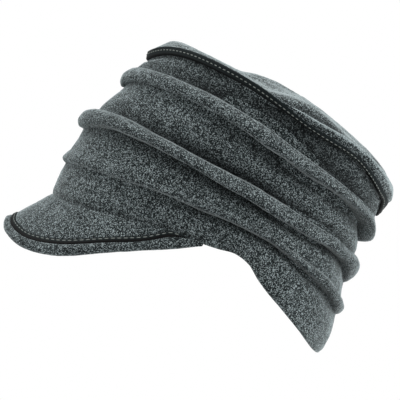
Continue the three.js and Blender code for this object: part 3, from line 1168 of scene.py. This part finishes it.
@dataclass(frozen=True)
class Stitches:
    """Row of short thread stitches along a line on a surface."""

    pitch: float = 3.6
    length: float = 2.1
    width: float = 0.62
    sunk: float = 0.35
    fullness: float = 0.6
    sides: int = 8
    rings: int = 5

    def build(
        self, name: str, line: np.ndarray, normal: np.ndarray, closed: bool
    ) -> bpy.types.Object:
        """Makes all stitches as one mesh of small closed spindles.

        Along its length a stitch follows the cosine of a half turn, and its thickness is the
        sine of that turn to the power of its fullness.

        Args:
            name: Name of the piece.
            line: Points of the line.
            normal: Unit normals of the surface at those points.
            closed: Whether the line runs on to its first point.

        Returns:
            The new object.
        """
        if closed:
            line = np.concatenate([line, line[:1]])
            normal = np.concatenate([normal, normal[:1]])
        way = np.concatenate([[0], np.cumsum(np.linalg.norm(np.diff(line, axis=0), axis=1))])
        count = int(way[-1] / self.pitch)
        at = (np.arange(count) + 0.5) * way[-1] / count

        def read(values: np.ndarray, places: np.ndarray) -> np.ndarray:
            """Values along the line, read at distances."""
            return np.stack([np.interp(places, way, values[:, a]) for a in range(3)], axis=1)

        centre = read(line, at)
        along = read(line, at + self.pitch / 4) - read(line, at - self.pitch / 4)
        along /= np.linalg.norm(along, axis=1, keepdims=True)
        up = read(normal, at)
        across = np.cross(up, along)
        across /= np.linalg.norm(across, axis=1, keepdims=True)
        up = np.cross(along, across)
        turn = np.linspace(0, math.pi, self.rings + 2)[1:-1]
        spin = even_angles(self.sides)
        x = -np.cos(turn)[:, None] * self.length / 2 + 0 * spin
        girth = np.sin(turn)[:, None] ** self.fullness
        y = girth * np.cos(spin) * self.width / 2
        z = girth * np.sin(spin) * self.width / 2
        shape = np.stack([x, y, z], axis=2).reshape(-1, 3)
        tips = np.array([[-self.length / 2, 0, 0], [self.length / 2, 0, 0]])
        shape = np.concatenate([shape, tips])
        shape[:, 2] -= self.sunk * self.width / 2
        points = (
            centre[:, None]
            + along[:, None] * shape[None, :, :1]
            + across[:, None] * shape[None, :, 1:2]
            + up[:, None] * shape[None, :, 2:]
        )
        quads, triangles = grid_faces(self.rings, self.sides, Ends.CAPPED)
        shift = np.arange(count)[:, None, None] * len(shape)
        all_quads = (quads[None] + shift).reshape(-1, 4)
        all_triangles = (triangles[None] + shift).reshape(-1, 3)
        return make_piece(name, points.reshape(-1, 3), all_quads, all_triangles)


@dataclass
class TopTape:
    """Satin tape that binds the seam between the wall and the top."""

    low: np.ndarray
    high: np.ndarray
    crown: float = 0.75
    sunk: float = -0.5
    lap_low: float = 0.08
    lap_high: float = 0.1
    columns: int = 640
    face_rows: int = 20
    # Width of the painted shadow along the lower edge, as a share of the tape.
    painted_shadow_width: float = 0.22
    front_stitches: float = 0.52
    back_stitches: float = 0.28
    stitches_drop: tuple[float, float] = (60, 125)
    step: float = 0.02

    def angles(self) -> np.ndarray:
        """Angles of the columns."""
        return even_angles(self.columns)

    def edges(self, inset: float) -> tuple[np.ndarray, np.ndarray]:
        """Lower and upper edge of the tape, drawn in by an inset."""
        angle = self.angles()
        lift_low, lift_high = seam_lines(angle)
        low = ring_points(self.low[None], angle, inset, lift_low)[0]
        high = ring_points(self.high[None], angle, inset, lift_high)[0]
        return low, high

    def face(self, share: np.ndarray) -> np.ndarray:
        """Points of the outer face.

        They lie on the straight line from the lower edge to the upper one, pushed out by a
        crown that is full in the middle and falls to nothing at both edges.

        Args:
            share: Places across the tape from 0, low, to 1, high, by row and column.

        Returns:
            Points by row and column.
        """

        wide = 1 + self.lap_low + self.lap_high

        def pushed(inset: float) -> np.ndarray:
            """The straight face with both laps, drawn in by an inset."""
            low, high = self.edges(inset)
            span = high - low
            return low - span * self.lap_low + span * wide * share[:, :, None]

        flat = pushed(0.0)
        crown = self.sunk + (self.crown - self.sunk) * (1 - (2 * share - 1) ** 8)
        return flat + (flat - pushed(1.0)) * crown[:, :, None]

    def build(self) -> bpy.types.Object:
        """Makes the tape: its crowned face, and a flat back at the cloth's thickness, with a
        painted shadow along the lower edge.
        """
        low, high = self.edges(SHEET)
        clear = GAP / np.linalg.norm(high - low, axis=1).mean()
        share = (1 - np.cos(np.linspace(0, math.pi, self.face_rows))[:, None]) / 2
        face = self.face(share + np.zeros((1, self.columns)))
        back = np.array([low + (high - low) * (1 - clear), low + (high - low) * clear])
        # Painted shadow along the tape's lower edge.
        fold = bell(0.0, self.painted_shadow_width, share) + np.zeros((1, self.columns))
        return skin("top_tape", np.concatenate([face, back]), Ends.JOINED, fold)

    def stitched(self) -> bpy.types.Object:
        """Makes the row of stitches, nearer to the lower edge round the back."""
        behind = ease(*self.stitches_drop, turned(self.angles()))
        share = self.front_stitches + (self.back_stitches - self.front_stitches) * behind
        lines = self.face(np.array([share - self.step, share, share + self.step]))
        normal = -grid_normals(lines)[1]
        return Stitches().build("top_stitches", lines[1], normal, True)


@dataclass
class PeakShape:
    """Cross-sections of the peak by angle round the rim.

    The columns are the angle, the tip of the padded lip, how far the lip reaches past the
    tape, and how far the upper cloth bulges.
    """

    rim: Rim
    tape_width: float = 4.2
    tape_taper: float = 0.8
    rows: tuple[tuple[float, float, float, float, float, float], ...] = (
        (-15, -28, -135.2, 14.8, 6.2, 0),
        (0, 0, -135.8, 22.4, 6.0, -0.8),
        (15, 28, -135.2, 14.8, 6.2, 0),
        (30, 50, -123.0, 4.2, 6.8, 1.2),
        (45, 67, -99.2, -1.2, 7.6, 1.8),
        (60, 77, -65.7, 0.2, 7.1, 1.2),
        (70, 80, -42.6, 0.9, 7.0, 0.4),
        (78, 81, -22.3, 1.6, 8.8, 0),
        (84, 82, -9.5, 2.2, 7.0, 0),
        (90, 83, 1.5, 3.4, 3.0, 0),
    )

    def sections(self, reach: float, columns: int) -> "PeakSections":
        """Frames of the sections at even angles.

        Args:
            reach: Last angle to each side, in degrees.
            columns: Number of sections.

        Returns:
            The sections.
        """
        degrees = np.linspace(-reach, reach, columns)
        return PeakSections(self, degrees)


class PeakSections:
    """Frames of the peak's cross-sections, with points by distance and depth.

    Distances run out from the root under the rim and depths down from the upper face. The
    root is pushed up into the wall's hem, so that no light comes through where they are sewn.
    """

    step = 2.8

    def __init__(self, shape: PeakShape, degrees: np.ndarray) -> None:
        """Works out the frames.

        Args:
            shape: The peak's table and sizes.
            degrees: Angle of each section.
        """
        self.degrees = degrees

        def ends(at: np.ndarray) -> tuple[np.ndarray, np.ndarray, np.ndarray]:
            """Root, tip and table row of the sections at angles in degrees."""
            row = read_table(shape.rows, np.minimum(np.abs(at), shape.rows[-1][0])).T
            tip = row[:, :3].copy()
            tip[:, 0] *= np.sign(at)
            return shape.rim.points(np.radians(at), 0.0, SEWN), tip, row

        self.root, self.tip, row = ends(degrees)
        before_root, before_tip, _ = ends(degrees - self.step)
        after_root, after_tip, _ = ends(degrees + self.step)
        way = self.tip - self.root
        self.length = np.linalg.norm(way, axis=1)
        self.out = way / self.length[:, None]
        round_way = after_root + after_tip - before_root - before_tip
        up = np.cross(self.out, round_way)
        self.up = up / np.linalg.norm(up, axis=1, keepdims=True)
        self.rim_up = shape.rim.up()
        self.inner_root = shape.rim.points(np.radians(degrees), CLOTH, SEWN)
        self.turn = self.up @ self.rim_up
        self.bulge = row[:, 4]
        self.tape_end = np.maximum(self.length - row[:, 3], 0)
        self.tape_start = np.maximum(self.tape_end - shape.tape_width, 0)
        self.tape_depth = np.minimum(SHEET, self.tape_end * shape.tape_taper)

    def at(self, distance: np.ndarray, depth: np.ndarray | float) -> np.ndarray:
        """Points out along the peak, with the bulge a parabola over its length."""
        share = distance / self.length
        height = self.bulge * 4 * share * (1 - share) - depth
        return self.root + self.out * distance[:, None] + self.up * height[:, None]

    def bend_reach(self, depth: np.ndarray | float) -> np.ndarray:
        """Distance that the bend at the root takes up at a depth."""
        return depth * np.sqrt((1 - self.turn) / (1 + self.turn))

    def fold(self, share: np.ndarray | float, depth: np.ndarray | float) -> np.ndarray:
        """Points under the rim, share 0 at its inner edge and 1 at the bend."""
        drop = np.asarray(depth + np.zeros(len(self.length)))[:, None]
        inner = self.inner_root - self.rim_up * drop
        bend = self.root - (self.up + self.rim_up) * drop / (1 + self.turn)[:, None]
        share = np.asarray(share + np.zeros(len(self.length)))[:, None]
        return inner * (1 - share) + bend * share

    def path(self, end: np.ndarray, depth: np.ndarray | float, count: int) -> np.ndarray:
        """Rows of points at one depth, from the rim's inner edge to a distance.

        Args:
            end: Distance of the last row from the root, which may be just below 0.
            depth: Depth of the path.
            count: Number of rows.

        Returns:
            Points by row and section.
        """
        reach = self.bend_reach(depth)
        last = np.maximum(end - reach, np.minimum(end, -GAP))
        rows = []
        for share in np.linspace(0, 1, count):
            distance = -CLOTH + (last + CLOTH) * share
            under = self.fold(1 + distance / CLOTH, depth)
            outside = self.at(reach + np.maximum(distance, 0), depth)
            rows.append(np.where((distance < 0)[:, None], under, outside))
        return np.array(rows)


@dataclass
class PeakUpper:
    """Upper cloth of the peak, from under the rim to the tape."""

    shape: PeakShape
    reach: float = 81.5
    columns: int = 300
    upper_rows: int = 34
    lower_rows: int = 10
    relief: float = 0.7
    fade_in: tuple[float, float] = (0.1, 0.25)
    fade_out: tuple[float, float] = (0.9, 1.0)

    def build(self) -> bpy.types.Object:
        """Makes the cloth as a skin whose loops are its cross-sections."""
        sections = self.shape.sections(self.reach, self.columns)
        end = sections.tape_start - GAP
        upper = sections.path(end, 0.0, self.upper_rows)
        share = np.linspace(0, 1, self.upper_rows)
        fade = ease(*self.fade_in, share) * (1 - ease(*self.fade_out, share))
        relief = cloth_relief(upper) * self.relief * fade[:, None]
        upper = upper + sections.up[None] * relief[:, :, None]
        lower = sections.path(end, sections.tape_depth, self.lower_rows)[::-1]
        grid = np.concatenate([upper, lower]).transpose(1, 0, 2)
        return skin("peak_upper_cloth", grid, Ends.CAPPED)


@dataclass
class PeakTape:
    """Satin tape along the edge of the peak."""

    shape: PeakShape
    crown: float = 0.5
    reach: float = 83.0
    columns: int = 420
    face_rows: int = 14
    # Shares across the tape over which the painted shadow next to the padded lip sets in.
    fold: tuple[float, float] = (0.5, 0.62)
    stitches: Stitches = Stitches(pitch=4.4, length=2.9)
    stitches_at: float = 0.3
    stitches_end: float = 2.0

    def face(self, sections: PeakSections, share: float) -> np.ndarray:
        """Points of the tape's face at a share across it, raised by its crown."""
        width = sections.tape_end - sections.tape_start
        height = self.crown * (1 - (2 * share - 1) ** 4)
        return sections.at(sections.tape_start + width * share, -height)

    def build(self) -> bpy.types.Object:
        """Makes the tape as a skin whose loops are its cross-sections."""
        sections = self.shape.sections(self.reach, self.columns)
        face = [self.face(sections, share) for share in np.linspace(0, 1, self.face_rows)]
        depth = sections.tape_depth
        inner = np.maximum(sections.tape_start, sections.bend_reach(depth))
        back = [sections.at(sections.tape_end, depth), sections.at(inner, depth)]
        grid = np.array([*face, *back]).transpose(1, 0, 2)
        # Painted shadow on the tape's part next to the padded lip and on its back.
        painted_shadow = np.concatenate([ease(*self.fold, np.linspace(0, 1, self.face_rows)), [1, 1]])
        return skin("peak_tape", grid, Ends.CAPPED, painted_shadow[None, :] + np.zeros(grid.shape[:2]))

    def stitched(self) -> bpy.types.Object:
        """Makes the row of stitches along the tape's upper side."""
        sections = self.shape.sections(self.reach - self.stitches_end, self.columns)
        line = self.face(sections, self.stitches_at)
        return self.stitches.build("peak_stitches", line, sections.up, False)


@dataclass
class PeakUnder:
    """Under cloth of the peak, which swells into a padded lip past the tape."""

    shape: PeakShape
    lip_thickness: float = 6.4
    proud: float = 0.25
    taper: float = 0.45
    tape_reach: float = 83.0
    reach: float = 90.0
    columns: int = 340
    upper_rows: int = 12
    rise_rows: int = 5
    turn_rows: int = 25
    lower_rows: int = 24
    end_steps: int = 64
    thin_from: float = 84.0
    thinned: float = 0.75
    padded_to: float = 0.55
    relief: float = 0.6
    plain_rows: int = 3

    def build(self) -> bpy.types.Object:
        """Makes the cloth as a skin whose loops are its cross-sections.

        The lip rises from the tape's edge by a quarter wave and turns under in a half circle.
        Past the tape's end the cloth and the lip thin out into the corner.

        Returns:
            The new object.
        """
        sections = self.shape.sections(self.reach, self.columns)
        size = np.abs(sections.degrees)
        step = math.degrees(TURN / self.end_steps)
        ending = np.clip((self.tape_reach - size) / step + 1, 0, 1)
        top = (sections.tape_depth + GAP) * ending
        thin = 1 - self.thinned * ease(self.thin_from, self.reach, size)
        bottom = top + np.minimum(SHEET, sections.length * self.taper) * thin
        edge = sections.tape_end + GAP
        radius = np.minimum(self.lip_thickness / 2, (sections.length - edge) * self.taper)
        radius = radius * thin
        proud = radius * self.proud
        middle = sections.length - radius
        rows = list(sections.path(edge, top, self.upper_rows))
        for share in np.linspace(0, 1, self.rise_rows + 1)[:-1]:
            rise = math.sin(share * math.pi / 2)
            rows.append(sections.at(edge + (middle - edge) * share, -proud * rise))
        for turn in np.linspace(math.pi / 2, -math.pi / 2, self.turn_rows):
            distance = middle + radius * math.cos(turn)
            rows.append(sections.at(distance, radius - proud - radius * math.sin(turn)))
        start = sections.bend_reach(bottom)
        for share in np.linspace(1, 0, self.lower_rows)[1:]:
            padded = ease(self.padded_to, 1.0, np.full(1, share))
            depth = bottom + (2 * radius - proud - bottom) * padded
            rows.append(sections.at(start + (middle - start) * share, depth))
        rows.append(sections.fold(0.5, bottom))
        rows.append(sections.fold(0.0, bottom))
        grid = np.array(rows)
        relief = cloth_relief(grid) * self.relief
        relief[: self.upper_rows + 1] = 0
        relief[-self.plain_rows :] = 0
        normal = grid_normals(grid.transpose(1, 0, 2)).transpose(1, 0, 2)
        grid = grid + normal * relief[:, :, None]
        return skin("peak_under_cloth", grid.transpose(1, 0, 2), Ends.CAPPED)


CROWN_RINGS = Rings(
    (
        ("seam", -37.0, 132.3, 124.5, 26.2, 21.5, 0.04, 78.0),
        ("tuck 1 above", -43.8, 126.5, 119.9, 21.5, 11.5, 0.08, 79.3),
        ("tuck 1 crest", -52.5, 122.3, 120.9, 18.1, 13.0, -0.1, 85.3),
        ("tuck 1 nose", -55.0, 117.5, 121.1, 12.5, 14.5, -0.1, 87.0),
        ("tuck 1 lower", -54.5, 114.0, 119.2, 7.3, 17.0, 0.0, 86.0),
        ("tuck 1 under", -52.1, 112.9, 109.0, 5.9, 19.5, 0.1, 81.5),
        ("panel 1", -62.4, 105.2, 108.8, 2.1, 12.0, -0.07, 84.0),
        ("panel 1 low", -67.3, 101.2, 108.1, -0.7, 7.8, -0.4, 84.6),
        ("tuck 2 above", -71.2, 97.2, 107.4, -3.1, 4.0, -0.9, 83.8),
        ("tuck 2 crest", -80.0, 96.0, 109.5, -6.6, 4.8, -0.9, 88.3),
        ("tuck 2 nose", -84.4, 91.0, 110.3, -11.8, 7.6, -0.6, 90.0),
        ("tuck 2 lower", -84.0, 86.2, 106.3, -18.4, 11.2, -0.2, 89.5),
        ("tuck 2 under", -81.5, 84.3, 100.1, -22.9, 14.4, 0.08, 86.0),
        ("panel 2", -85.5, 76.4, 98.0, -29.2, 12.5, 0.32, 88.0),
        ("tuck 3 above", -90.3, 70.2, 98.0, -34.4, 11.8, 0.4, 88.5),
        ("tuck 3 nose", -95.2, 64.6, 99.2, -40.2, 13.0, 0.4, 90.0),
        ("tuck 3 under", -93.8, 60.8, 94.6, -44.8, 15.4, 0.45, 87.0),
    )
)
INNER_NAMES = (
    "seam", "tuck 1 above", "tuck 1 under", "panel 1", "tuck 2 above", "tuck 2 under",
    "panel 2", "tuck 3 under",
)
TUCKS = (
    Tuck(
        "tuck 1 above",
        "tuck 1 under",
        (
            (0, 0.6, 0.4, 0.3, 0, 0, 0),
            (15, 1.2, 1.2, 0, 1.0, 0.2, -1.5),
            (40, 1.8, 2.0, 0, 1.8, 0.7, 0.6),
            (62, 2.6, 2.2, 0.1, 1.0, -0.8, -0.7),
            (75, 3.4, 2.0, 0.6, 0.6, -1.4, -0.5),
            (85, 3.8, 2.0, 1.4, 0.3, -1.4, -0.0),
            (94, 4.2, 2.0, 2.0, 0, -0.9, 1.0),
            (104, 4.2, 2.0, 3.2, 0, 0.5, 1.2),
            (113, 4.0, 2.2, 4.0, 0, 1.6, 1.7),
            (126, 3.4, 2.4, 4.6, 0, 2.2, 0.0),
            (138, 3.0, 2.4, 5.0, 0, 1.9, -2.1),
            (150, 2.8, 2.2, 4.8, 0, 1.2, -3.4),
            (162, 2.6, 1.6, 3.8, 0, 0.7, -4.4),
            (172, 1.6, 0.6, 2.0, 0, 0.2, -1.9),
            (180, 1.0, 0.2, 0.6, 0, 0, 0),
        ),
        gentle=8.0,
        shade=0.8,
    ),
    Tuck(
        "tuck 2 above",
        "tuck 2 under",
        (
            (0, 0.5, 0.3, 0.3, 0, 0, 0),
            (15, 1.2, 1.2, 1.0, 0, -0.2, 0.1),
            (40, 1.8, 2.2, 2.0, 0, -0.2, -1.5),
            (54, 2.2, 2.2, 2.4, 0, 0.5, -1.6),
            (67, 2.6, 2.2, 2.6, 0, -0.1, -1.4),
            (79, 2.8, 2.2, 2.8, 0, -1.0, -1.3),
            (90, 3.0, 2.2, 3.6, 0, -2.0, -0.8),
            (100, 3.0, 2.2, 4.0, 0, -3.2, -1.5),
            (109, 3.0, 2.2, 4.4, 0, -3.1, -1.0),
            (118, 3.0, 2.2, 4.4, 0, -3.2, -1.2),
            (127, 3.0, 2.4, 4.4, 0, -3.0, -1.3),
            (144, 3.0, 2.4, 3.8, 0, -2.9, -4.7),
            (160, 2.6, 1.8, 3.4, 0, -0.4, -4.8),
            (172, 1.4, 0.8, 2.0, 0, 0.3, -1.5),
            (180, 0.6, 0.2, 0.6, 0, 0, 0),
        ),
    ),
    Tuck(
        "tuck 3 above",
        "tuck 3 under",
        (
            (0, 0.1, 0.2, 0.6, 0, 0, 0),
            (20, 0.1, 0.4, 0.5, 0.2, 0, 0.7),
            (45, 0, 0.5, 0.3, 0.5, 0, 1.1),
            (60, -0.2, 0.6, 0.8, 0.4, 0, -0.1),
            (73, -0.3, 0.8, 1.6, 0.2, 0, -2.4),
            (85, -0.4, 0.8, 2.6, 0, -1.0, -2.2),
            (95, -0.5, 0.8, 3.0, 0, -1.5, -3.6),
            (105, -0.5, 0.8, 3.2, 0, -1.5, -3.9),
            (114, -0.3, 0.8, 3.3, 0, -1.0, -3.8),
            (123, 0.2, 0.8, 3.4, 0, 0, -1.8),
            (134, 0.6, 0.8, 3.4, 0, 0, 1.1),
            (150, 0.6, 0.8, 3.2, 0, 0, 1.9),
            (165, 0.5, 0.6, 2.4, 0, 0, 1.8),
            (180, 0.3, 0.3, 0.8, 0, 0, 0),
        ),
        slide_width=10.0,
    ),
)
TOP_RINGS = Rings(
    (
        ("edge", -35.7, 137.8, 130.0, 32.2, 19.2, -0.03, 79.5),
        ("lip", -28.2, 141.4, 133.4, 36.6, 15.2, 0.15, 80.0),
        ("crest", -20.5, 144.7, 133.6, 42.6, 8.3, 0.6, 76.0),
        ("valley", -13.0, 144.0, 130.2, 51.8, 3.0, 0.55, 68.5),
        ("dome 1", -3.5, 139.8, 121.0, 63.8, 5.6, 0.3, 60.5),
        ("dome 2", 11.8, 131.6, 109.2, 76.0, 5.0, 0.0, 48.0),
        ("dome 3", 25.0, 125.0, 101.5, 83.0, 4.2, 0.0, 37.0),
        ("dome 4", 37.5, 122.6, 94.0, 90.0, 2.0, 0.0, 26.0),
        ("dome 5", 54.5, 116.6, 84.0, 98.0, 0.6, 0.0, 13.0),
    )
)


@dataclass
class Cap:
    """The whole cap: builds each piece and dresses it."""

    fleece: FleeceFinish
    tape: TapeFinish
    thread: ThreadFinish

    def build(self) -> None:
        """Builds all pieces, in the order in which the cap is sewn."""
        fleece, tape, thread = (finish.build() for finish in (self.fleece, self.tape, self.thread))
        rim = Rim()
        shape = PeakShape(rim)
        wall = self.dress(
            CrownWall(CROWN_RINGS, rim, INNER_NAMES, TUCKS).build(),
            fleece,
            Slot.CROWN,
            ["side_band"],
        )
        top = self.dress(TopPanel(TOP_RINGS).build(), fleece, Slot.CROWN, ["top_panel"])
        top_tape = TopTape(CROWN_RINGS.numbers()[0], TOP_RINGS.numbers()[0])
        band = self.dress(top_tape.build(), tape, Slot.TAPE, ["top_piping"])
        band_stitches = self.dress(top_tape.stitched(), thread, Slot.TAPE, [])
        upper = self.dress(PeakUpper(shape).build(), fleece, Slot.PEAK, ["peak_upper"])
        peak_tape = PeakTape(shape)
        edge = self.dress(peak_tape.build(), tape, Slot.TAPE, ["peak_piping"])
        edge_stitches = self.dress(peak_tape.stitched(), thread, Slot.TAPE, [])
        under = self.dress(PeakUnder(shape).build(), fleece, Slot.PEAK, ["peak_under"])

    @staticmethod
    def dress(
        piece: bpy.types.Object, material: bpy.types.Material, slot: Slot, nodes: Sequence[str]
    ) -> bpy.types.Object:
        """Gives a piece its material and its body, and hides the nodes that it stands for.

        Args:
            piece: The piece.
            material: Its material.
            slot: The record's material slot; not used.
            nodes: Names of the solids that it replaces.

        Returns:
            The piece.
        """
        piece.data.materials.append(material)
        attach(piece, BODY)
        if nodes:
            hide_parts(*nodes)
        piece.data.calc_loop_triangles()
        LOG.info("%s: %d triangles", piece.name, len(piece.data.loop_triangles))
        return piece


@dataclass(frozen=True)
class Studio:
    """Pale floor, soft light and the camera at the photograph's angle."""

    distance: float = 3.0
    aim_height: float = 0.03475
    frame_width: float = 0.278
    sensor: float = 36.0
    floor_drop: float = 0.09
    floor_size: float = 1.2
    ambient: float = 0.31
    lamps: tuple[tuple[str, tuple[float, float, float], float, float], ...] = (
        ("over", (0.25, -0.3, 2.2), 1.4, 40.0),
        ("front", (0.3, -2.2, 0.7), 1.2, 17.0),
        ("back", (0.5, 2.2, 0.3), 1.2, 43.0),
    )

    def build(self, lowest: float) -> None:
        """Makes the floor, the lights, the world and the camera.

        Args:
            lowest: Height of the cap's lowest point, in metres.
        """
        self.floor(lowest - self.floor_drop)
        self.world()
        for lamp in self.lamps:
            self.lamp(*lamp)
        self.camera()

    def floor(self, height: float) -> None:
        """Makes the floor.

        Args:
            height: Height of the floor, in metres.
        """
        half = self.floor_size / 2
        square = ((-1, -1), (1, -1), (1, 1), (-1, 1))
        corners = [(x * half, y * half, height) for x, y in square]
        mesh = bpy.data.meshes.new("floor")
        mesh.from_pydata(corners, [], [(0, 1, 2, 3)])
        floor = bpy.data.objects.new("floor", mesh)
        floor.data.materials.append(PaperFinish().build())
        bpy.context.scene.collection.objects.link(floor)
        floor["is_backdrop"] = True

    def world(self) -> None:
        """Makes a white backdrop that gives only a faint even light of its own."""
        world = bpy.data.worlds.new("white_room")
        world.use_nodes = True
        tree = world.node_tree
        background = tree.nodes["Background"]
        background.inputs["Color"].default_value = (1.0, 1.0, 1.0, 1.0)
        seen = tree.nodes.new("ShaderNodeLightPath").outputs["Is Camera Ray"]
        strength = tree.nodes.new("ShaderNodeMapRange")
        strength.inputs["To Min"].default_value = self.ambient
        tree.links.new(seen, strength.inputs["Value"])
        tree.links.new(strength.outputs["Result"], background.inputs["Strength"])
        bpy.context.scene.world = world
        bpy.context.scene.view_settings.view_transform = "Standard"

    def lamp(self, name: str, place: tuple[float, float, float], size: float, power: float) -> None:
        """Makes one soft square lamp that faces the cap.

        Args:
            name: Name of the lamp.
            place: Its place, in metres.
            size: Its side, in metres.
            power: Its power, in watts.
        """
        light = bpy.data.lights.new(name, "AREA")
        light.size = size
        light.energy = power
        lamp = bpy.data.objects.new(name, light)
        lamp.location = place
        bpy.context.scene.collection.objects.link(lamp)
        aim = lamp.location.copy()
        aim.z -= self.aim_height
        lamp.rotation_euler = aim.to_track_quat("Z", "Y").to_euler()

    def camera(self) -> None:
        """Makes the camera, level at the wearer's left side."""
        data = bpy.data.cameras.new("camera")
        data.sensor_width = self.sensor
        data.lens = self.sensor * self.distance / self.frame_width
        data.clip_end = 100.0
        camera = bpy.data.objects.new("camera", data)
        camera.location = (self.distance, 0.0, self.aim_height)
        camera.rotation_euler = (math.pi / 2, 0.0, math.pi / 2)
        bpy.context.scene.collection.objects.link(camera)
        bpy.context.scene.camera = camera


def main() -> None:
    """Builds the cap round the frame, then the studio."""
    logging.basicConfig(level=logging.INFO, format="%(message)s")
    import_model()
    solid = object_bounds()
    Cap(FleeceFinish(), TapeFinish(), ThreadFinish()).build()
    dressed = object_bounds()
    Studio().build(min(solid[0][2], dressed[0][2]))


if __name__ == "__main__":
    main()
